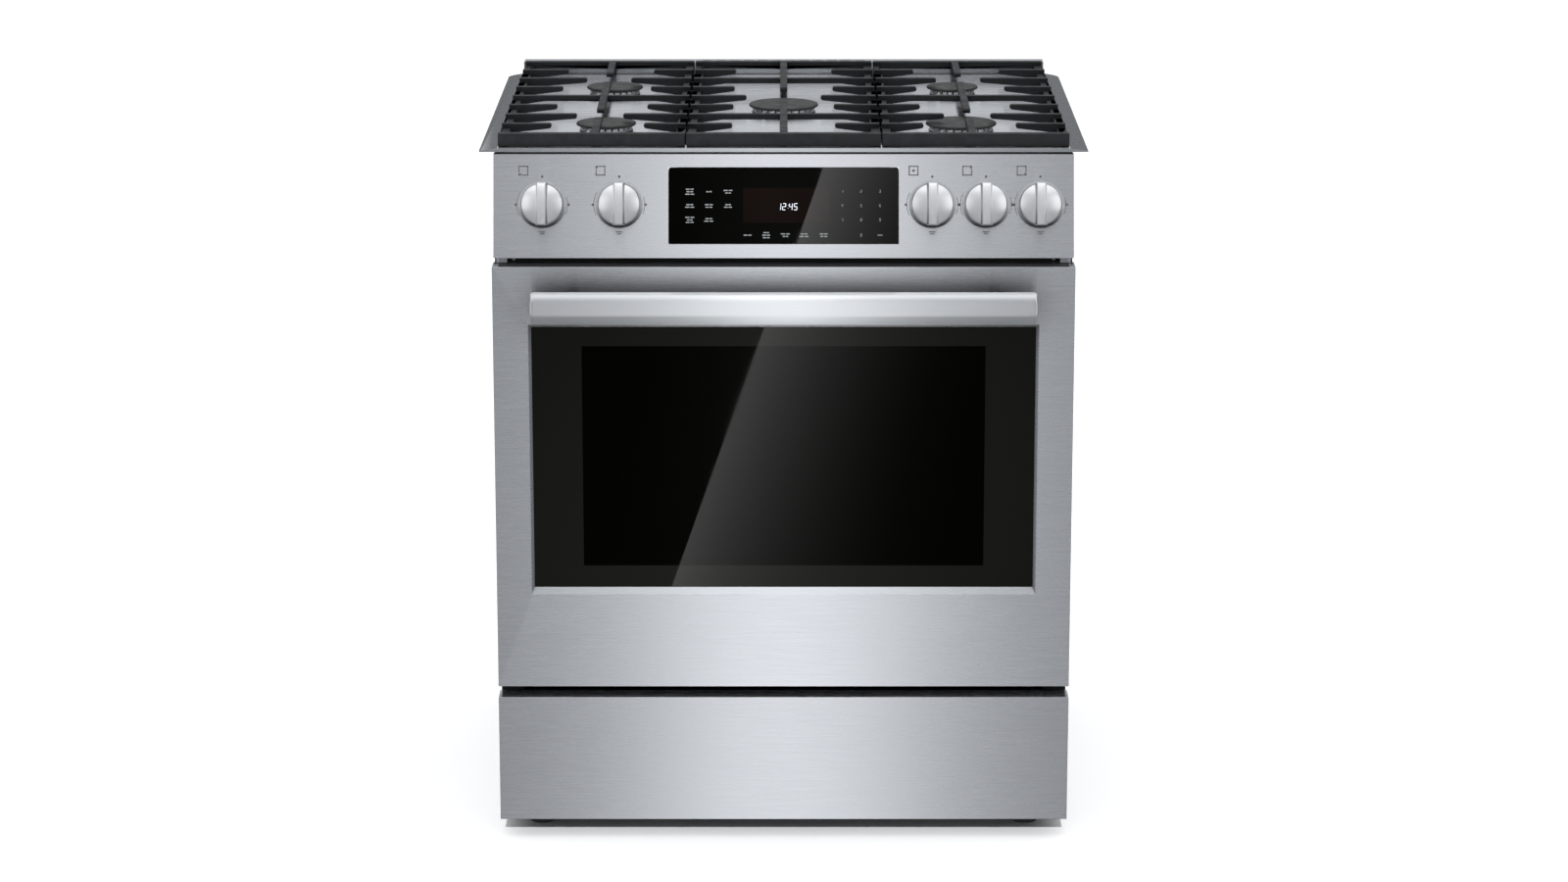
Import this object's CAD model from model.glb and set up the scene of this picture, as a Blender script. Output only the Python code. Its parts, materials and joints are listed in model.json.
"""Looks of a freestanding gas range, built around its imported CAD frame.

Metres, +Z up, and the door faces -Y. Small sizes are written in millimetres, times MM."""

import json
import math

import bmesh
import bpy
from mathutils import Matrix, Vector


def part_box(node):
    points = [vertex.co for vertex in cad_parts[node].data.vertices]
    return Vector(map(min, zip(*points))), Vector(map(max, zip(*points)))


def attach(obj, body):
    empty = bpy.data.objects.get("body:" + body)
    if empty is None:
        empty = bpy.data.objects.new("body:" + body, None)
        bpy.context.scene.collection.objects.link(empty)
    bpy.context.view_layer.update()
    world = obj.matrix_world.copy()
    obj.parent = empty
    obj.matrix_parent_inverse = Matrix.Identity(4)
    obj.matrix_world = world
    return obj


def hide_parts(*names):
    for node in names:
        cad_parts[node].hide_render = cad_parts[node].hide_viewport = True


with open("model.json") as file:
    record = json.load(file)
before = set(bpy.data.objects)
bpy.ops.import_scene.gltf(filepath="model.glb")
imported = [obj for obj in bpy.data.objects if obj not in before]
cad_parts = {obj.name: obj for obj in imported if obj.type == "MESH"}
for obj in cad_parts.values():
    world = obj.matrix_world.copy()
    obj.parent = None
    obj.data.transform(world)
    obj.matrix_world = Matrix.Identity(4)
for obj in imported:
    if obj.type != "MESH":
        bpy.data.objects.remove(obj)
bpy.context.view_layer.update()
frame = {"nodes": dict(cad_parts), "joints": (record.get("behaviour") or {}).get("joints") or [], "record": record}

MM = 0.001
TINY = 1e-7    # points closer than this, in metres, are one
BURNERS = ["left_front", "left_rear", "centre", "right_rear", "right_front"]
SLOT_OF = {row["node"]: row["material_slot"] for row in frame["record"]["subparts"]}
BODY_OF = {node: body for body, nodes in frame["record"]["behaviour"]["bodies"].items() for node in nodes}
JOINTS = {joint["name"]: joint for joint in frame["joints"]}


# ---------------------------------------------------------------- camera

CAMERA_PLACE = (0.0005, -5.7505, 1.879)
CAMERA_PITCH = 13.8
CAMERA_LENS = 97.6
SENSOR_WIDTH = 36


def add_camera():
    """Camera of the photo: in front of the door, looking down by its pitch in degrees."""
    data = bpy.data.cameras.new("camera")
    data.sensor_width = SENSOR_WIDTH
    data.lens = CAMERA_LENS
    camera = bpy.data.objects.new("camera", data)
    camera.location = CAMERA_PLACE
    camera.rotation_euler = (math.radians(90 - CAMERA_PITCH), 0, 0)
    bpy.context.scene.collection.objects.link(camera)
    bpy.context.scene.camera = camera


# ---------------------------------------------------------------- materials

class Nodes:
    """Short names for building a tree of shader nodes."""

    def __init__(self, owner):
        owner.use_nodes = True
        self.nodes = owner.node_tree.nodes
        self.links = owner.node_tree.links

    def feed(self, socket, value):
        """Links an output to a socket, or gives the socket a fixed value."""
        if isinstance(value, bpy.types.NodeSocket):
            self.links.new(value, socket)
        else:
            socket.default_value = value

    def add(self, kind, inputs, **settings):
        """New node of a kind, with its inputs fed and its own settings made."""
        node = self.nodes.new("ShaderNode" + kind)
        for key, value in settings.items():
            setattr(node, key, value)
        for key, value in inputs.items():
            self.feed(node.inputs[key], value)
        return node

    def math(self, operation, *values):
        return self.add("Math", dict(enumerate(values)), operation=operation).outputs[0]

    def split(self, vector):
        """X, Y and Z outputs of a vector."""
        return self.add("SeparateXYZ", {0: vector}).outputs

    def mix(self, fac, first, second):
        """Colour between two others; each is a tuple or a socket."""
        node = self.add("Mix", {}, data_type="RGBA")
        self.feed(node.inputs[0], fac)
        for index, colour in ((6, first), (7, second)):
            self.feed(node.inputs[index], (*colour, 1) if isinstance(colour, tuple) else colour)
        return node.outputs[2]


class Finish(Nodes):
    """A procedural material: its Principled shader, and short names for the nodes that drive it."""

    def __init__(self, name, colour, roughness, metallic=0.0):
        self.material = bpy.data.materials.new(name)
        super().__init__(self.material)
        self.bsdf = self.nodes["Principled BSDF"]
        self.set("Base Color", (*colour, 1))
        self.set("Roughness", roughness)
        self.set("Metallic", metallic)
        self.colour = colour

    def set(self, socket, value):
        """Gives a socket of the shader a fixed value, or links another node's output to it."""
        self.feed(self.bsdf.inputs[socket], value)

    def base(self):
        """The output that drives the base colour so far."""
        return self.bsdf.inputs["Base Color"].links[0].from_socket

    def blend(self, fac, first, second):
        """Base colour between two others."""
        self.set("Base Color", self.mix(fac, first, second))

    def place(self, stretch=(1, 1, 1)):
        """Position on the object in metres, times a factor on each axis."""
        coords = self.add("TexCoord", {}).outputs["Object"]
        return self.add("VectorMath", {0: coords, 1: stretch}, operation="MULTIPLY").outputs[0]

    def at(self, axis):
        """Position on the object along one axis, in metres."""
        return self.split(self.place())[axis]

    def noise(self, scale, detail, stretch=(1, 1, 1)):
        """Noise with features 1 / scale metres apart."""
        fac = self.add("TexNoise", {"Vector": self.place(stretch), "Scale": scale, "Detail": detail})
        return fac.outputs["Fac"]

    def spread(self, fac, low, high, start=0.35, end=0.65):
        """Value that goes from low to high while fac goes from start to end."""
        keys = {"Value": fac, "From Min": start, "From Max": end, "To Min": low, "To Max": high}
        return self.add("MapRange", keys).outputs[0]

    def rise(self, fac, start=0.35, end=0.65):
        """Value that goes from 0 to 1 while fac goes from start to end."""
        return self.spread(fac, 0, 1, start, end)

    def tint(self, factor):
        """The material's own colour, made darker or lighter by a factor."""
        return tuple(min(1.0, channel * factor) for channel in self.colour)

    def bump(self, height, depth, strength):
        """Relief of the given depth in metres."""
        node = self.add("Bump", {"Height": height, "Strength": strength, "Distance": depth})
        self.set("Normal", node.outputs[0])

    def wear(self, amount):
        """Factor that rises to amount where the surface is convex, broken up as on rubbed edges."""
        point = self.add("NewGeometry", {}).outputs["Pointiness"]
        edge = self.spread(point, 0, amount, 0.52, 0.6)
        patch = self.spread(self.noise(scale=90, detail=3), 0.2, 1)
        return self.math("MULTIPLY", edge, patch)


def shade_nooks(finish, base, reach, factor, start, end):
    """Colour that darkens where something else is nearer than reach, in metres."""
    near = finish.add("AmbientOcclusion", {"Distance": reach}, samples=8).outputs["AO"]
    return finish.mix(finish.rise(near, start, end), finish.tint(factor), base)


LINE_STRETCH = 0.012    # scale of the brushing along its grain
BAND_SHARE = 0.2    # share of the broad bands in the brushing; the rest is fine lines
LINE_DEPTH = 0.0008 * MM


def brushed(name, colour, roughness, grain=(1, 0, 0), anisotropic=1.0, nook=0.0):
    """Brushed metal: fine lines along the grain, which draw the highlight out across them.

    With nook, the metal is darker where something else is nearer than that distance in metres."""
    finish = Finish(name, colour, roughness, metallic=1.0)
    stretch = tuple(LINE_STRETCH if part > 0.5 else 1.0 for part in grain)
    lines = finish.noise(scale=1800, detail=2, stretch=stretch)
    bands = finish.noise(scale=420, detail=2, stretch=stretch)
    fine = finish.math("MULTIPLY", lines, 1 - BAND_SHARE)
    line = finish.math("ADD", fine, finish.math("MULTIPLY", bands, BAND_SHARE))
    shade = finish.mix(finish.rise(line, 0.38, 0.62), finish.tint(0.98), finish.tint(1.02))
    cloud = finish.spread(finish.noise(scale=5, detail=2), 0, 0.35)
    skin = finish.mix(cloud, shade, finish.tint(0.96))
    if nook:
        skin = shade_nooks(finish, skin, reach=nook, factor=0.25, start=0.5, end=0.98)
    finish.set("Base Color", skin)
    finish.set("Roughness", finish.spread(line, roughness - 0.015, roughness + 0.02))
    finish.set("Anisotropic", anisotropic)
    spaces = {"vector_type": "VECTOR", "convert_from": "OBJECT", "convert_to": "WORLD"}
    along = finish.add("VectorTransform", {0: grain}, **spaces).outputs[0]
    normal = finish.add("NewGeometry", {}).outputs["Normal"]
    across = finish.add("VectorMath", {0: along, 1: normal}, operation="CROSS_PRODUCT").outputs[0]
    never_zero = {0: across, 1: (0, 0, 0.001)}
    finish.set("Tangent", finish.add("VectorMath", never_zero, operation="ADD").outputs[0])
    finish.bump(lines, depth=LINE_DEPTH, strength=0.4)
    return finish


def shade_facing(finish, direction, start, end, factor):
    """Darkens the faces that look a given way, from the start to the end of the dot product.

    The direction (1, 0, 0) means either side, and (-1, 0, 0) towards the middle of the object."""
    pair = {0: finish.add("TexCoord", {}).outputs["Normal"], 1: direction}
    facing = finish.add("VectorMath", pair, operation="DOT_PRODUCT").outputs["Value"]
    if direction[0] > 0:
        facing = finish.math("ABSOLUTE", facing)
    elif direction[0] < 0:
        facing = finish.math("MULTIPLY", facing, finish.math("SIGN", finish.at(0)))
    finish.blend(finish.rise(facing, start, end), finish.base(), finish.tint(factor))


def knob_finish(name, colour, roughness):
    """Satin knob metal, darker on the faces that look to the middle of the panel."""
    up_the_panel = (0, 0.24, 0.97)
    finish = brushed(name, colour, roughness, up_the_panel, anisotropic=0.6)
    shade_facing(finish, (-1, 0, 0), start=0.75, end=0.9, factor=0.42)
    return finish


def cooktop_finish(name, colour, roughness):
    """Brushed steel, darker towards the back, on the sloped side flanges and on the front edge."""
    finish = brushed(name, colour, roughness)
    far = finish.rise(finish.at(1), start=-0.1, end=0.35)
    finish.blend(far, finish.base(), finish.tint(0.7))
    shade_facing(finish, (1, 0, 0), start=0.05, end=0.12, factor=0.27)
    shade_facing(finish, (0, -1, 0), start=0.5, end=0.8, factor=0.66)
    return finish


def cast_iron(name, colour, roughness, nook, low=None):
    """Cast iron with a sandy skin, worn a little lighter on its edges and darker in its corners.

    With low, a pair of heights, faces that look up are darker where they lie below them."""
    finish = Finish(name, colour, roughness)
    sand = finish.noise(scale=1500, detail=4)
    broad = finish.noise(scale=60, detail=3)
    shade = finish.mix(finish.rise(sand), finish.tint(0.8), finish.tint(1.25))
    worn = finish.mix(finish.wear(0.35), shade, finish.tint(2.6))
    skin = shade_nooks(finish, worn, reach=nook, factor=0.3, start=0.45, end=0.95)
    if low:
        up = finish.split(finish.add("TexCoord", {}).outputs["Normal"])[2]
        level, below = finish.rise(up, 0.4, 0.8), finish.spread(finish.at(2), 1, 0, *low)
        skin = finish.mix(finish.math("MULTIPLY", level, below), skin, finish.tint(0.35))
    finish.set("Base Color", skin)
    finish.set("Roughness", finish.spread(broad, roughness - 0.08, roughness + 0.1))
    finish.set("Specular IOR Level", 0.3)
    finish.bump(sand, depth=0.00016, strength=0.7)
    return finish


def enamel(name, colour, roughness, amount):
    """Vitreous enamel: glossy, faintly wavy, with pale specks."""
    finish = Finish(name, colour, roughness)
    speck = (0.4, 0.42, 0.48)
    cell = finish.add("TexVoronoi", {"Vector": finish.place(), "Scale": 420}).outputs["Distance"]
    dot = finish.spread(cell, amount, 0, 0.05, 0.16)
    finish.blend(dot, finish.colour, speck)
    finish.set("Coat Weight", 0.4)
    finish.set("Coat Roughness", 0.08)
    finish.bump(finish.noise(scale=45, detail=2), depth=0.0004, strength=0.35)
    return finish


def painted(name, colour, roughness, grain=2200):
    """Painted sheet or moulded plastic with a fine orange-peel or leather grain."""
    finish = Finish(name, colour, roughness)
    fine = finish.noise(scale=grain, detail=3)
    broad = finish.noise(scale=9, detail=3)
    shade = finish.mix(finish.rise(broad), finish.tint(0.9), finish.tint(1.1))
    finish.blend(finish.wear(0.3), shade, finish.tint(1.9))
    finish.set("Roughness", finish.spread(broad, roughness - 0.05, roughness + 0.06))
    finish.bump(fine, depth=0.00004, strength=0.8)
    return finish


def galvanised(name, colour, roughness):
    """Zinc-coated sheet with its crystal spangle."""
    finish = Finish(name, colour, roughness, metallic=0.9)
    cells = finish.add("TexVoronoi", {"Vector": finish.place(), "Scale": 95}).outputs["Color"]
    value = finish.add("SeparateColor", {0: cells}).outputs[0]
    finish.blend(value, finish.tint(0.86), finish.tint(1.12))
    finish.set("Roughness", finish.spread(value, roughness - 0.06, roughness + 0.08, 0, 1))
    finish.bump(finish.noise(scale=700, detail=2), depth=0.00002, strength=0.4)
    return finish


def metal(name, colour, roughness, grain=500):
    """Plain metal, cast, drawn or plated."""
    finish = Finish(name, colour, roughness, metallic=1.0)
    fine = finish.noise(scale=grain, detail=3)
    finish.blend(finish.rise(fine), finish.tint(0.92), finish.tint(1.05))
    finish.set("Roughness", finish.spread(fine, roughness * 0.85, roughness * 1.2))
    finish.bump(fine, depth=0.00002, strength=0.5)
    return finish


def shaded_ring(name, colour, roughness, shade):
    """Satin steel ring around a knob, in shade where it is below the middle of the knob."""
    finish = Finish(name, colour, roughness, metallic=1.0)
    above = finish.rise(finish.at(2), start=KNOB_HEIGHT - 24 * MM, end=KNOB_HEIGHT - 2 * MM)
    finish.blend(above, shade, finish.colour)
    finish.bump(finish.noise(scale=500, detail=3), depth=0.00002, strength=0.5)
    return finish


def black_glass(name, colour, roughness, window=None):
    """Opaque glossy glass; the area inside window, (lowest, highest) corner, is a shade deeper."""
    finish = Finish(name, colour, roughness)
    smear = finish.noise(scale=14, detail=4)
    finish.set("Roughness", finish.spread(smear, roughness - 0.015, roughness + 0.02))
    finish.set("Specular IOR Level", 0.012)
    if window:
        soft, deep = 0.4 * MM, (0.0003, 0.0003, 0.0002)
        inside = 1.0
        for axis in (0, 2):
            middle = (window[0][axis] + window[1][axis]) / 2
            half = (window[1][axis] - window[0][axis]) / 2
            offset = finish.math("ABSOLUTE", finish.math("SUBTRACT", finish.at(axis), middle))
            mask = finish.spread(offset, 1, 0, half - soft, half + soft)
            inside = finish.math("MULTIPLY", mask, inside)
        finish.blend(inside, finish.colour, deep)
    else:
        finish.blend(finish.rise(smear), finish.colour, finish.tint(1.3))
    return finish


def clear_glass(name, colour, roughness, transmission):
    """Glass that light goes through, faintly uneven."""
    finish = Finish(name, colour, roughness)
    finish.set("Transmission Weight", transmission)
    finish.set("IOR", 1.5)
    finish.set("Roughness", finish.spread(finish.noise(scale=30, detail=3), roughness, roughness + 0.05))
    return finish


def fibre(name, colour, roughness, scale):
    """Braided or matted glass fibre."""
    finish = Finish(name, colour, roughness)
    wave = {"Vector": finish.place(), "Scale": scale, "Distortion": 6.0, "Detail": 3.0}
    fac = finish.add("TexWave", wave).outputs["Fac"]
    finish.blend(fac, finish.tint(0.65), finish.tint(1.15))
    finish.set("Sheen Weight", 0.3)
    finish.bump(fac, depth=0.0006, strength=0.8)
    return finish


def lit_print(name, colour, roughness, glow):
    """Backlit symbol: a pale print that gives off a little light of its own."""
    finish = Finish(name, colour, roughness)
    finish.blend(finish.rise(finish.noise(scale=900, detail=2)), finish.tint(0.9), finish.colour)
    finish.set("Emission Color", (*colour, 1))
    finish.set("Emission Strength", glow)
    return finish


KNOB_HEIGHT = (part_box("knob_bezels")[0].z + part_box("knob_bezels")[1].z) / 2
GRATE_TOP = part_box("grate_centre")[1].z
RAIL_HEIGHTS = (GRATE_TOP - 5 * MM, GRATE_TOP - 2 * MM)
OVEN_WINDOW = ((-0.264, 0, 0.378), (0.264, 0, 0.675))
GLASS_ROUGHNESS = 0.03

# The looks of the record's slots: the maker, its colour, its roughness and what else it takes.
LOOKS = {
    "stainless_panel": (brushed, (0.55, 0.563, 0.586), 0.26),
    "stainless_cooktop": (cooktop_finish, (0.66, 0.678, 0.705), 0.26),
    "handle_steel": (brushed, (0.91, 0.925, 0.945), 0.34),
    "bezel_steel": (shaded_ring, (0.70, 0.715, 0.735), 0.4, (0.09, 0.093, 0.10)),
    "knob_metal": (knob_finish, (0.965, 0.975, 0.99), 0.34),
    "frame_black": (painted, (0.004, 0.004, 0.005), 0.6),
    "chassis_paint": (painted, (0.05, 0.051, 0.055), 0.42),
    "galvanised": (galvanised, (0.46, 0.47, 0.49), 0.42),
    "cavity_enamel": (enamel, (0.012, 0.014, 0.026), 0.22, 0.5),
    "burner_enamel": (enamel, (0.012, 0.012, 0.013), 0.4, 0.1),
    "grate_iron": (cast_iron, (0.0175, 0.0185, 0.0208), 0.55, 0.02, RAIL_HEIGHTS),
    "cap_iron": (cast_iron, (0.035, 0.038, 0.036), 0.5, 0.004),
    "burner_aluminium": (metal, (0.90, 0.91, 0.92), 0.38, 900),
    "display_black": (black_glass, (0.0005, 0.0005, 0.0004), GLASS_ROUGHNESS),
    "window_black": (black_glass, (0.0036, 0.0036, 0.0031), GLASS_ROUGHNESS, OVEN_WINDOW),
    "pane_glass": (clear_glass, (0.72, 0.78, 0.76), 0.0, 0.95),
    "lamp_glass": (clear_glass, (0.95, 0.94, 0.9), 0.35, 0.5),
    "rack_chrome": (metal, (0.66, 0.67, 0.69), 0.14, 300),
    "valve_brass": (metal, (0.66, 0.47, 0.17), 0.3),
    "pipe_steel": (metal, (0.40, 0.41, 0.42), 0.4, 250),
    "motor_paint": (painted, (0.05, 0.05, 0.055), 0.5),
    "gasket_fibre": (fibre, (0.05, 0.05, 0.05), 0.95, 260),
    "wool": (fibre, (0.70, 0.62, 0.36), 0.95, 60),
    "board_plastic": (painted, (0.02, 0.09, 0.045), 0.5),
    "ceramic_white": (painted, (0.82, 0.81, 0.77), 0.35, 400),
    "foot_black": (painted, (0.016, 0.016, 0.016), 0.6, 1200),
    "screw_steel": (metal, (0.45, 0.46, 0.48), 0.3),
}
MATERIALS = {slot: make(slot, *values).material for slot, (make, *values) in LOOKS.items()}
POST_STEEL = metal("post_steel", (0.10, 0.103, 0.108), 0.35).material
DOOR_STEEL = brushed("door_steel", (0.60, 0.615, 0.64), 0.26, nook=0.075).material
PRINT = painted("panel_print", (0.12, 0.122, 0.13), 0.6).material
GLOW = lit_print("clock_glow", (0.9, 0.95, 1.0), 0.5, 0.65).material
LEGEND = lit_print("legend_print", (0.42, 0.44, 0.45), 0.5, 0.12).material
KEYPAD = lit_print("keypad_print", (0.3, 0.31, 0.32), 0.5, 0.05).material


# ---------------------------------------------------------------- mesh building

def mesh_piece(name, build, material, body, smooth_angle=35):
    """Piece whose mesh build() draws into an empty bmesh, on its body and with its slot of the record.

    Edges that turn by more than smooth_angle, in degrees, are kept sharp."""
    shape = bmesh.new()
    build(shape)
    bmesh.ops.remove_doubles(shape, verts=shape.verts, dist=TINY)
    bmesh.ops.recalc_face_normals(shape, faces=shape.faces)
    mesh = bpy.data.meshes.new(name)
    shape.to_mesh(mesh)
    shape.free()
    for face in mesh.polygons:
        face.use_smooth = True
    mesh.set_sharp_from_angle(angle=math.radians(smooth_angle))
    mesh.materials.append(material)
    obj = bpy.data.objects.new(name, mesh)
    bpy.context.scene.collection.objects.link(obj)
    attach(obj, body)
    return obj


def draw_block(shape, lo, hi, turn=Matrix.Identity(4)):
    """Box between two corners, moved by the matrix turn."""
    lo, hi = Vector(lo), Vector(hi)
    scale = Matrix.Diagonal((*(hi - lo), 1))
    made = bmesh.ops.create_cube(shape, size=1, matrix=Matrix.Translation((lo + hi) / 2) @ scale)
    bmesh.ops.transform(shape, matrix=turn, verts=made["verts"])


def draw_lathe(shape, profile, turn, segments):
    """Solid of revolution about Z through (radius, height) points, from bottom to top."""
    angles = [2 * math.pi * step / segments for step in range(segments)]
    rings = []
    for radius, height in profile:
        if radius < TINY:
            rings.append([shape.verts.new(turn @ Vector((0, 0, height)))])
            continue
        points = [Vector((radius * math.cos(a), radius * math.sin(a), height)) for a in angles]
        rings.append([shape.verts.new(turn @ point) for point in points])
    for lower, upper in zip(rings, rings[1:]):
        for step in range(segments):
            after = (step + 1) % segments
            if len(lower) == 1:
                shape.faces.new((lower[0], upper[after], upper[step]))
            elif len(upper) == 1:
                shape.faces.new((lower[step], lower[after], upper[0]))
            else:
                shape.faces.new((lower[step], lower[after], upper[after], upper[step]))


def draw_skin(shape, outlines):
    """Solid whose skin runs through closed outlines of points, from one flat end to the other."""
    rings = [[shape.verts.new(point) for point in outline] for outline in outlines]
    for first, second in zip(rings, rings[1:]):
        for index in range(len(first)):
            after = (index + 1) % len(first)
            shape.faces.new((first[index], first[after], second[after], second[index]))
    shape.faces.new(rings[0])
    shape.faces.new(rings[-1])


def arc(centre, radius, start, end, steps):
    """Points of a circular arc, in degrees."""
    angles = [math.radians(start + (end - start) * step / steps) for step in range(steps + 1)]
    return [(centre[0] + radius * math.cos(a), centre[1] + radius * math.sin(a)) for a in angles]


WELD_REACH = 0.001 * MM
FLAT_ANGLE = 0.8    # degrees under which neighbouring faces count as one flat face
SHARP_ANGLE = 30    # degrees over which an edge is rounded


def soften(node, width, segments):
    """Rounds the sharp edges of a CAD node by modifiers, leaving its own mesh as it is."""
    obj = frame["nodes"][node]
    weld = obj.modifiers.new("weld", "WELD")
    weld.merge_threshold = WELD_REACH
    flat = obj.modifiers.new("flat", "DECIMATE")
    flat.decimate_type = "DISSOLVE"
    flat.angle_limit = math.radians(FLAT_ANGLE)
    bevel = obj.modifiers.new("bevel", "BEVEL")
    bevel.width = width
    bevel.segments = segments
    bevel.limit_method = "ANGLE"
    bevel.angle_limit = math.radians(SHARP_ANGLE)
    bevel.use_clamp_overlap = True
    bevel.harden_normals = True


def dress(node, material):
    """Gives a CAD node its procedural material."""
    slots = frame["nodes"][node].data.materials
    slots.clear()
    slots.append(material)


# ---------------------------------------------------------------- control panel and knobs

OUTWARD = Vector(JOINTS["centre_knob_turn"]["axis"]).normalized()
UPWARD = Vector((1, 0, 0)).cross(OUTWARD).normalized() * -1
KNOB_UP = 69.7 * MM    # the knobs' axes, up the panel from its foot
PANEL_FOOT = Vector(JOINTS["centre_knob_turn"]["pos_m"]) - UPWARD * KNOB_UP
PANEL_FOOT.x = 0


def panel_frame(x, up, out=0.0):
    """Matrix whose X runs along the panel, Y up its slope and Z out of it, at a point of its face."""
    place = PANEL_FOOT + Vector((x, 0, 0)) + UPWARD * up + OUTWARD * out
    turn = Matrix((Vector((1, 0, 0)), UPWARD, OUTWARD)).transposed().to_4x4()
    return Matrix.Translation(place) @ turn


def arc_radius(half_chord, rise):
    """Radius of the arc that rises by rise over a half chord."""
    return (half_chord ** 2 + rise ** 2) / (2 * rise)


def draw_grip(shape, turn):
    """Full-width grip bar of a knob: sides that lean in, a crowned front and rounded edges."""
    half_length, foot_width, top_width = 27.4 * MM, 8.4 * MM, 5.85 * MM
    foot, front, crown, edge = 10 * MM, 27 * MM, 4 * MM, 1.1 * MM
    end_steps, crown_steps = 4, 10
    crown_radius = arc_radius(half_length, crown)
    stations = []
    for step in range(end_steps):
        angle = math.radians(90 * step / end_steps)
        stations.append((-half_length + edge * (1 - math.cos(angle)), edge * (1 - math.sin(angle))))
    for step in range(-crown_steps, crown_steps + 1):
        stations.append(((half_length - edge) * step / crown_steps, 0))
    stations += [(-y, inset) for y, inset in reversed(stations[:end_steps])]
    outlines = []
    for y, inset in stations:
        top = front - crown_radius + math.sqrt(crown_radius ** 2 - y ** 2) - inset
        side = top_width - inset
        outline = [(foot_width - inset, foot), (side, top - edge)]
        outline += arc((side - edge, top - edge), edge, 0, 90, 4)[1:]
        outline += [(-x, out) for x, out in reversed(outline)]
        outlines.append([turn @ Vector((x, y, out)) for x, out in outline])
    draw_skin(shape, outlines)


def add_knob(place):
    """Domed disc with a grip bar, on its stem."""
    joint = JOINTS[place + "_knob_turn"]
    turn = panel_frame(joint["pos_m"][0], KNOB_UP)
    radius, back, rim, dome = 26.8 * MM, 3.8 * MM, 12.5 * MM, 5.5 * MM
    fillet, fillet_end = 1.2 * MM, 67
    stem_radius, stem_back = 4 * MM, 36 * MM
    back_edge = ((3, 0), (1.2, 0.4), (0.5, 1.6), (0.2, 3))
    dome_steps = 12
    dome_radius = arc_radius(radius, dome)

    def dome_height(r):
        return rim + dome - dome_radius + math.sqrt(dome_radius ** 2 - r ** 2)

    shoulder = radius - fillet * (1 - math.cos(math.radians(fillet_end)))
    fillet_height = dome_height(shoulder) - fillet * math.sin(math.radians(fillet_end))
    profile = [(0, back)] + [(radius - inset * MM, back + out * MM) for inset, out in back_edge]
    profile += arc((radius - fillet, fillet_height), fillet, 0, fillet_end, 5)
    for step in range(1, dome_steps):
        reach = shoulder * (1 - step / dome_steps)
        profile.append((reach, dome_height(reach)))
    profile.append((0, rim + dome))
    stem_front = back + MM
    stem = [(0, -stem_back), (stem_radius, -stem_back), (stem_radius, stem_front), (0, stem_front)]

    def build(shape):
        draw_lathe(shape, profile, turn, segments=96)
        draw_lathe(shape, stem, turn, segments=32)
        draw_grip(shape, turn)

    knob = mesh_piece("knob_body_" + place, build, MATERIALS["knob_metal"], place + "_knob",
                      smooth_angle=28)
    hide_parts("knob_" + place)


PRINT_THICK = 0.12 * MM


def draw_slip(shape, width, height, turn):
    """Thin printed rectangle around the origin of the matrix turn."""
    half = Vector((width / 2, height / 2, 0))
    draw_block(shape, -half, half + Vector((0, 0, PRINT_THICK)), turn)


def draw_print(shape, x, up, width, height, out=0.0):
    """Printed bar on the panel, centred on a point of its face."""
    draw_slip(shape, width, height, panel_frame(x, up, out))


def draw_dot(shape, x, up, radius, segments):
    """Round printed dot on the panel."""
    disc = [(0, 0), (radius, 0), (radius, PRINT_THICK), (0, PRINT_THICK)]
    draw_lathe(shape, disc, panel_frame(x, up), segments)


def draw_ring_mark(shape, x, up, radius, start, end):
    """Printed arc about a point of the panel, in degrees from its X axis."""
    width, steps, overlap = 0.7 * MM, 10, 1.04
    turn = panel_frame(x, up)
    length = radius * math.radians(abs(end - start)) / steps * overlap
    for step in range(steps):
        middle = math.radians(start + (end - start) * (step + 0.5) / steps)
        swing = Matrix.Rotation(middle, 4, "Z") @ Matrix.Translation((radius, 0, 0))
        draw_slip(shape, width, length, turn @ swing)


def draw_icon(shape, x, up, side, level):
    """Square outline of the cooktop, open at the corner where the burner's dot lies."""
    size, line, gap, reach = 11.4 * MM, 1.5 * MM, 0.36, 0.42
    for sign in (-1, 1):
        short = gap if side == sign else 0
        shift = -level * size * short / 2
        draw_print(shape, x + sign * size / 2, up + shift, line, size * (1 - short) + line)
        short = gap if level == sign else 0
        shift = -side * size * short / 2
        draw_print(shape, x + shift, up + sign * size / 2, size * (1 - short) + line, line)
    dot_x, dot_up = x + side * size * reach, up + level * size * reach
    draw_dot(shape, dot_x, dot_up, 1.9 * MM, segments=20)


def draw_knob_marks(shape, x):
    """Dots above and beside a knob, arcs on both sides of it and two short bars below."""
    dot_x, dot_up, arc_at = 34.5 * MM, 36.5 * MM, 33.2 * MM
    for angle in (90, 0, 180):
        spot = math.radians(angle)
        up = KNOB_UP + dot_up * math.sin(spot)
        draw_dot(shape, x + dot_x * math.cos(spot), up, 1.7 * MM, segments=16)
    for start, end in ((152, 205), (-22, 18)):
        draw_ring_mark(shape, x, KNOB_UP, arc_at, start, end)
    for row, width in ((-35.6, 8.5), (-38.2, 5.5)):
        draw_print(shape, x, KNOB_UP + row * MM, width * MM, 1.4 * MM)


def add_panel_print():
    """Burner icons above the knobs, and the marks around each knob."""
    icon_x, icon_up = -24.5 * MM, 114 * MM
    dots = {"left_front": (-1, -1), "left_rear": (-1, 1), "centre": (0, 0), "right_rear": (1, 1),
            "right_front": (1, -1)}

    def build(shape):
        for place, (side, level) in dots.items():
            knob_x = JOINTS[place + "_knob_turn"]["pos_m"][0]
            draw_icon(shape, knob_x + icon_x, icon_up, side, level)
            draw_knob_marks(shape, knob_x)

    mesh_piece("panel_print", build, PRINT, BODY_OF["control_panel"])


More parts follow.
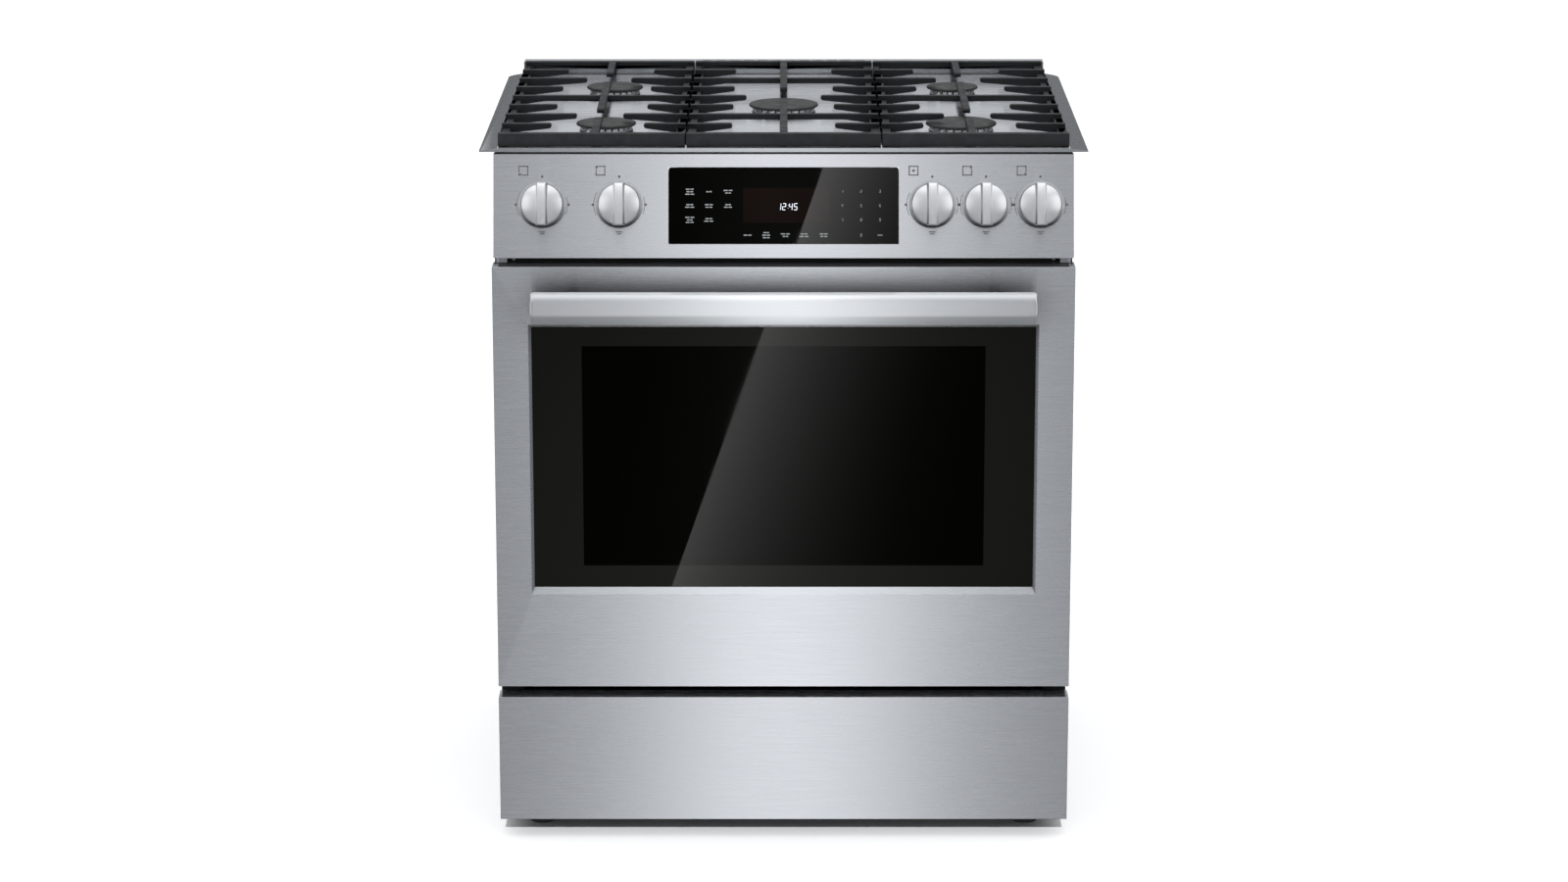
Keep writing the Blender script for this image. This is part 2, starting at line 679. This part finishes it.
SEGMENTS = {"0": "abcdef", "1": "bc", "2": "abged", "3": "abgcd", "4": "fgbc", "5": "afgcd",
            "6": "afgedc", "7": "abc", "8": "abcdefg", "9": "abcdfg"}
GLASS_OUT = 0.8 * MM    # the display glass stands this far out of the panel


def draw_digit(shape, digit, x, up, height, line):
    """Seven-segment digit on the display glass, leaning slightly to the right."""
    slim, lean = 0.46, 0.12
    width, half = height * slim, height / 2
    spans = {"a": (0, half, width, line), "d": (0, -half, width, line), "g": (0, 0, width, line)}
    for name, side, level in (("b", 1, 1), ("c", 1, -1), ("e", -1, -1), ("f", -1, 1)):
        spans[name] = (side * width / 2, level * half / 2, line, half)
    for name in SEGMENTS[digit]:
        dx, dy, w, h = spans[name]
        draw_print(shape, x + dx + dy * lean, up + dy, w, h, GLASS_OUT)


def add_display():
    """Clock, key legends and key pad, printed on the display glass.

    Returns the tinted window behind the clock. The tables below give places in millimetres."""
    body, slot = BODY_OF["display_glass"], SLOT_OF["display_glass"]
    clock_up, clock_x, digit_step, colon_gap, colon_x, colon_half = 67.0, -5.6, 6.3, 2.4, 6.0, 1.9
    legend_rows = {    # by height: the (x, lines) of each group
        86.5: ((-122.2, 3), (-97.3, 1), (-72.3, 2)),
        68.0: ((-122.2, 2), (-97.3, 2), (-72.3, 2)),
        49.8: ((-122.2, 3), (-97.3, 2)),
        29.8: ((-46.8, 1), (-22.5, 3), (2.5, 2), (26.8, 2), (52.5, 2)),
    }
    line_step, line_height, line_widths = 3.3, 1.35 * MM, (10.5, 7.5, 12.0, 9.0)
    words = ((-0.28, 0.46), (0.26, 0.4))    # the (shift, share) of a line's width that each word takes
    key_x, key_up, key_across, key_down, last_row_up = 76.5, 87.0, 24.6, 18.6, 29.8

    def build_clock(shape):
        for index, digit in enumerate("1245"):
            x = (clock_x + digit_step * index + (colon_gap if index > 1 else 0)) * MM
            draw_digit(shape, digit, x, clock_up * MM, 8.2 * MM, 0.8 * MM)
        for level in (-1, 1):
            up = (clock_up + colon_half * level) * MM
            draw_print(shape, colon_x * MM, up, 0.8 * MM, 0.8 * MM, GLASS_OUT)

    def build_legends(shape):
        groups = [(x, up, lines) for up, row in legend_rows.items() for x, lines in row]
        for number, (x, up, lines) in enumerate(groups):
            for row in range(lines):
                width = line_widths[(number + row * 3) % 4] * MM
                level = (up + line_step * ((lines - 1) / 2 - row)) * MM
                for shift, share in words:
                    place = x * MM + width * shift
                    draw_print(shape, place, level, width * share, line_height, GLASS_OUT)

    def build_keypad(shape):
        for index, digit in enumerate("1234567890"):
            column, row = (index % 3, index // 3) if index < 9 else (1, 3)
            x = (key_x + key_across * column) * MM
            up = (key_up - key_down * row if index < 9 else last_row_up) * MM
            draw_digit(shape, digit, x, up, 3.3 * MM, 0.6 * MM)
        draw_print(shape, 125.7 * MM, last_row_up * MM, 6.5 * MM, 1.3 * MM, GLASS_OUT)

    def build_window(shape):
        lo, hi = (-53.0 * MM, 46.0 * MM, 0), (60.5 * MM, 91.6 * MM, 0.04 * MM)
        draw_block(shape, lo, hi, panel_frame(0, 0, GLASS_OUT))

    mesh_piece("clock_digits", build_clock, GLOW, body)
    mesh_piece("key_legends", build_legends, LEGEND, body)
    mesh_piece("key_pad", build_keypad, KEYPAD, body)
    tinted = black_glass("display_window", (0.0024, 0.0013, 0.0010), GLASS_ROUGHNESS).material
    return mesh_piece("display_window", build_window, tinted, body)


# ---------------------------------------------------------------- studio

LIGHT_HEIGHT = 4
TOP_POWER, TOP_SPREAD, TOP_TILT = 1.15, 120, -12
WASH_POWER = 1.7
FILL_SIDE, FILL_FRONT, FILL_HEIGHT = 3.5, -3.5, 2.2
FILL_SIZE, FILL_AIM = (1.6, 2.6), (0, 0, 0.6)
FILLS = {"left_fill": (-1, 14), "right_fill": (1, 16)}    # the side and the watts of each
# The sky, by the (height, glow) of each stop, where height is the Z of the direction looked in.
SKY_STOPS = [(-0.95, 0.20), (-0.5, 0.29), (-0.2, 0.35), (0.3, 0.36), (0.55, 0.47), (0.95, 0.56)]
SKY_TINT = (0.975, 1, 1.035)
FIRST_STOPS = 2    # the stops that a new colour ramp comes with
# The bright band in front and the dim sides behind, by the X and Z of the direction.
BAND_WIDTH, BAND_COLOUR = 0.0205, (2.65, 2.68, 2.72)
SIDE_START, SIDE_END, SIDE_TOP, SIDE_COLOUR = 0.07, 0.15, 0.5, (0.13, 0.14, 0.155)
GLARE_REACH = 0.5    # metres from a glass to the light that shows in it


def link_light(name, data, place, rotation, receivers=()):
    """Puts a light in the scene; with receivers it lights only those objects."""
    light = bpy.data.objects.new(name, data)
    light.location = place
    light.rotation_euler = rotation
    bpy.context.scene.collection.objects.link(light)
    if receivers:
        group = bpy.data.collections.new(name + "_receivers")
        for receiver in receivers:
            group.objects.link(receiver)
        light.light_linking.receiver_collection = group


def area_light(name, place, target, size, power):
    """Soft rectangular light of the given width and height, in watts."""
    data = bpy.data.lights.new(name, "AREA")
    data.shape = "RECTANGLE"
    data.size, data.size_y = size
    data.energy = power
    toward = Vector(target) - Vector(place)
    link_light(name, data, place, toward.to_track_quat("-Z", "Y").to_euler())


def glare(name, receivers, surface, edge, width, power, fade):
    """Soft box that shows in a black glass as a slanting streak, brightest along its left edge.

    surface is the (point, up, normal) of the glass, and edge the (x, up) of the streak's lower
    and upper left corners. The camera's mirror image says where the box must stand."""
    point, up, normal = surface
    camera = bpy.context.scene.camera.location
    image = camera - 2 * (camera - point).dot(normal) * normal
    corners = [point + Vector((x, 0, 0)) + up * height for x, height in edge]
    reach = 1 + GLARE_REACH / abs((camera - point).dot(normal))
    low, high = (image + (corner - image) * reach for corner in corners)
    along = (high - low).normalized()
    across = along.cross(normal)
    middle = (low + high) / 2 + across * width / 2
    data = bpy.data.lights.new(name, "AREA")
    data.shape = "RECTANGLE"
    data.size, data.size_y = width, (high - low).length
    data.energy = power
    tree = Nodes(data)
    spot = tree.split(tree.add("NewGeometry", {}).outputs["Parametric"])
    falling = tree.math("POWER", tree.math("SUBTRACT", 1.0, spot[0]), fade)
    tree.feed(tree.nodes["Emission"].inputs["Strength"], falling)
    turn = Matrix((across, along, normal)).transposed().to_euler()
    link_light(name, data, middle, turn, receivers)


def add_sky():
    """Pale surroundings, brighter overhead and dimmer below.

    A soft upright band stands in front of the door, and the sides behind the object are dim."""
    world = bpy.data.worlds.new("studio")
    tree = Nodes(world)
    x, y, z = tree.split(tree.add("TexCoord", {}).outputs["Generated"])
    aside = tree.math("ABSOLUTE", x)
    ramp = tree.add("ValToRGB", {0: tree.math("MULTIPLY_ADD", z, 0.5, 0.5)})
    stops = ramp.color_ramp.elements
    for index, (height, glow) in enumerate(SKY_STOPS):
        stop = stops[index] if index < FIRST_STOPS else stops.new(0.99)
        stop.position = (height + 1) / 2
        stop.color = (*(glow * channel for channel in SKY_TINT), 1)
    off_axis = tree.math("POWER", tree.math("DIVIDE", aside, BAND_WIDTH), 2)
    band = tree.math("EXPONENT", tree.math("MULTIPLY", off_axis, -1))
    front = tree.math("LESS_THAN", y, 0)
    lit = tree.mix(tree.math("MULTIPLY", band, front), ramp.outputs[0], BAND_COLOUR)
    keys = {"Value": aside, "From Min": SIDE_START, "From Max": SIDE_END}
    behind = tree.math("SUBTRACT", 1.0, front)
    side = tree.math("MULTIPLY", tree.add("MapRange", keys).outputs[0], behind)
    low = tree.math("LESS_THAN", z, SIDE_TOP)
    dim = tree.mix(tree.math("MULTIPLY", side, low), lit, SIDE_COLOUR)
    tree.feed(tree.nodes["Background"].inputs["Color"], dim)
    bpy.context.scene.world = world


def add_studio(floor, display_window):
    """Sky, an even top light, two fill lights, a wash that whitens the floor, and the glass's streaks."""
    add_sky()
    top = bpy.data.lights.new("top_light", "SUN")
    top.energy = TOP_POWER
    top.angle = math.radians(TOP_SPREAD)
    link_light("top_light", top, (0, 0, LIGHT_HEIGHT), (math.radians(TOP_TILT), 0, 0))
    wash = bpy.data.lights.new("floor_wash", "SUN")
    wash.energy = WASH_POWER
    wash.use_shadow = False
    link_light("floor_wash", wash, (0, 0, LIGHT_HEIGHT), (0, 0, 0), [floor])
    for name, (side, power) in FILLS.items():
        area_light(name, (side * FILL_SIDE, FILL_FRONT, FILL_HEIGHT), FILL_AIM, FILL_SIZE, power)
    oven_glass, display_glass = frame["nodes"]["door_glass_outer"], frame["nodes"]["display_glass"]
    door_face = Vector((0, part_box("door_glass_outer")[0].y, 0))
    upright = (door_face, Vector((0, 0, 1)), Vector((0, -1, 0)))
    edge = ((-0.207, 0.18), (0.034, 0.87))
    glare("window_streak", [oven_glass], upright, edge, width=0.5, power=60, fade=5.5)
    sloping = (PANEL_FOOT, UPWARD, OUTWARD)
    edge = ((-0.004, -0.04), (0.094, 0.24))
    both = [display_glass, display_window]
    glare("display_streak", both, sloping, edge, width=0.3, power=21, fade=3.4)
    bpy.context.scene.view_settings.view_transform = "Standard"


# ---------------------------------------------------------------- door handle

def add_handle():
    """Flat bar with a rounded upper edge, a bevelled lower one and rounded upper end corners."""
    lo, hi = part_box("handle_bar")
    top_radius, corner, edge = 9 * MM, 5.5 * MM, 0.8 * MM
    corner_steps = 7
    bevel = ((12.2, 0), (10.4, 0.5), (0.5, 12.2), (0, 14), (0, 15))

    def profile(inset):
        """Outline in Y and Z, drawn in by inset all round; the bevel's points are in millimetres."""
        top, low = hi.z - inset, lo.z + inset * 0.8
        front, back = lo.y + inset * 0.5, hi.y - inset * 0.5
        points = arc((front + top_radius, top - top_radius), top_radius, 180, 90, 7)
        points += arc((back - edge, top - edge), edge, 90, 0, 3)
        points += arc((back - edge, low + edge), edge, 0, -90, 3)
        points += [(front + y * MM, low + z * MM) for y, z in bevel]
        points.append((front, top - top_radius - MM))
        return points

    stations = []
    for step in range(corner_steps + 1):
        angle = math.radians(90 * step / corner_steps)
        inset = corner * (1 - math.cos(angle))
        stations.append((hi.x - corner + corner * math.sin(angle), inset))
    rows = [(-x, inset) for x, inset in reversed(stations)] + stations

    def build(shape):
        draw_skin(shape, [[(x, y, z) for y, z in profile(inset)] for x, inset in rows])

    bar = mesh_piece("handle_grip", build, MATERIALS["handle_steel"], "door",
                     smooth_angle=32)
    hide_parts("handle_bar")


def add_door_trim():
    """Dark cover strip along the top of the door, under the control panel."""
    lo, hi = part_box("door_skin")
    side, front, depth, thick = 8 * MM, 1.6 * MM, 24 * MM, 0.4 * MM
    low, high = (lo.x + side, lo.y + front, hi.z), (hi.x - side, lo.y + depth, hi.z + thick)
    black = MATERIALS["frame_black"]
    mesh_piece("door_top_trim", lambda shape: draw_block(shape, low, high), black, "door")


# ---------------------------------------------------------------- burners

def add_cap(place):
    """Cast cap with a rolled edge, a shallow dished ring and its locating skirt."""
    node = "burner_cap_" + place
    lo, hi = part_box(node)
    centre = (lo + hi) / 2
    radius, top = (hi.x - lo.x) / 2, hi.z
    under, roll, dish, dish_steps = top - 4.2 * MM, 1.9 * MM, 0.32 * MM, 9
    skirt_in, skirt_out, ledge = radius - 21 * MM, radius - 18 * MM, lo.z + 2 * MM
    profile = [(0, ledge), (skirt_in, ledge), (skirt_in, lo.z), (skirt_out, lo.z)]
    profile += [(skirt_out, under), (radius - 3 * MM, under)]
    profile += arc((radius - roll, under + roll), roll, -80, 78, 9)
    for step in range(1, dish_steps):
        share = step / dish_steps
        drop = dish * (1 - math.sin(share * math.pi / 2))
        profile.append(((radius - roll) * (1 - share), top - drop))
    profile.append((0, top))
    turn = Matrix.Translation((centre.x, centre.y, 0))

    def build(shape):
        draw_lathe(shape, profile, turn, segments=96)

    cap = mesh_piece("cap_" + place, build, MATERIALS["cap_iron"], place + "_cap",
                     smooth_angle=40)
    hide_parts(node)


# ---------------------------------------------------------------- screws

def add_screw_recesses():
    """Cross recesses in the heads of the rear panel's screws."""
    edge_x, inner_x, rear_y, thick = 0.3698, 0.18, 0.3838, 0.06 * MM
    long, narrow = 4.2 * MM, 0.9 * MM
    spots = [(side * edge_x, z) for side in (-1, 1) for z in (0.07, 0.28, 0.49, 0.7, 0.9)]
    spots += [(side * inner_x, z) for side in (-1, 1) for z in (0.905, 0.05)]

    def build(shape):
        for x, z in spots:
            for wide, tall in ((long, narrow), (narrow, long)):
                low = (x - wide / 2, rear_y, z - tall / 2)
                draw_block(shape, low, (x + wide / 2, rear_y + thick, z + tall / 2))

    black = MATERIALS["frame_black"]
    mesh_piece("screw_recesses", build, black, BODY_OF["body_screws"])


# ---------------------------------------------------------------- the object

# How the edges of each CAD node are rounded: (width in millimetres, segments).
EDGE_ROUNDING = {
    "grate_left": (1.7, 3), "grate_centre": (1.7, 3), "grate_right": (1.7, 3), "cooktop": (1.4, 4),
    "rear_vent_trim": (0.7, 2), "control_panel": (0.7, 3), "door_skin": (0.7, 3), "drawer_front": (0.9, 3),
    "front_frame": (0.4, 1), "side_panel_left": (0.6, 2), "side_panel_right": (0.6, 2),
    "rear_panel": (0.4, 1), "base_frame": (0.5, 2), "levelling_feet": (0.8, 2), "oven_cavity": (0.8, 2),
    "oven_floor": (0.5, 1), "door_liner": (0.7, 2), "drawer_box": (0.5, 2), "handle_posts": (0.6, 2),
    "knob_bezels": (0.5, 2), "burner_bases": (0.6, 2), "burner_heads": (0.25, 1),
    "broil_burner": (0.8, 2), "fan_cover": (0.6, 1), "hinge_claws": (0.5, 1), "door_hinges": (0.4, 1),
    "drawer_rails": (0.4, 1), "gas_valves": (0.6, 1), "body_screws": (0.5, 2), "cord_gland": (0.6, 2),
    "fan_blade": (0.2, 1), "door_gasket": (2.5, 3), "oven_insulation": (4, 2), "fan_motor": (1.0, 2),
}
OWN_LOOKS = {"door_skin": DOOR_STEEL, "handle_posts": POST_STEEL}


def build_range():
    """Gives every CAD node its look, and adds the Blender pieces around them.

    Returns the tinted window behind the clock."""
    for node in frame["nodes"]:
        dress(node, OWN_LOOKS.get(node, MATERIALS[SLOT_OF[node]]))
        if node in EDGE_ROUNDING:
            width, segments = EDGE_ROUNDING[node]
            soften(node, width * MM, segments)
    for place in BURNERS:
        add_knob(place)
        add_cap(place)
    add_panel_print()
    display_window = add_display()
    add_handle()
    add_door_trim()
    add_screw_recesses()
    return display_window


FLOOR_REACH = 40    # metres from the middle to each edge


def add_floor():
    """Pale floor in two parts: the open floor, which it returns, and the patch under the base frame."""
    lo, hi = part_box("base_frame")

    def corners(left, front, right, rear):
        return [(left, front, 0), (right, front, 0), (right, rear, 0), (left, rear, 0)]

    outer = corners(-FLOOR_REACH, -FLOOR_REACH, FLOOR_REACH, FLOOR_REACH)
    inner = corners(lo.x, lo.y, hi.x, hi.y)
    ring = [(corner, (corner + 1) % 4, (corner + 1) % 4 + 4, corner + 4) for corner in range(4)]
    paper = Finish("floor_paper", (0.92, 0.92, 0.92), 0.7)
    paper.bump(paper.noise(scale=300, detail=2), depth=0.0001, strength=0.2)
    parts = []
    for name, verts, faces in (("floor", outer + inner, ring), ("floor_patch", inner, [(0, 1, 2, 3)])):
        mesh = bpy.data.meshes.new(name)
        mesh.from_pydata(verts, [], faces)
        mesh.materials.append(paper.material)
        part = bpy.data.objects.new(name, mesh)
        bpy.context.scene.collection.objects.link(part)
        part.visible_glossy = False
        parts.append(part)
    return parts[0]


add_camera()
add_studio(add_floor(), build_range())
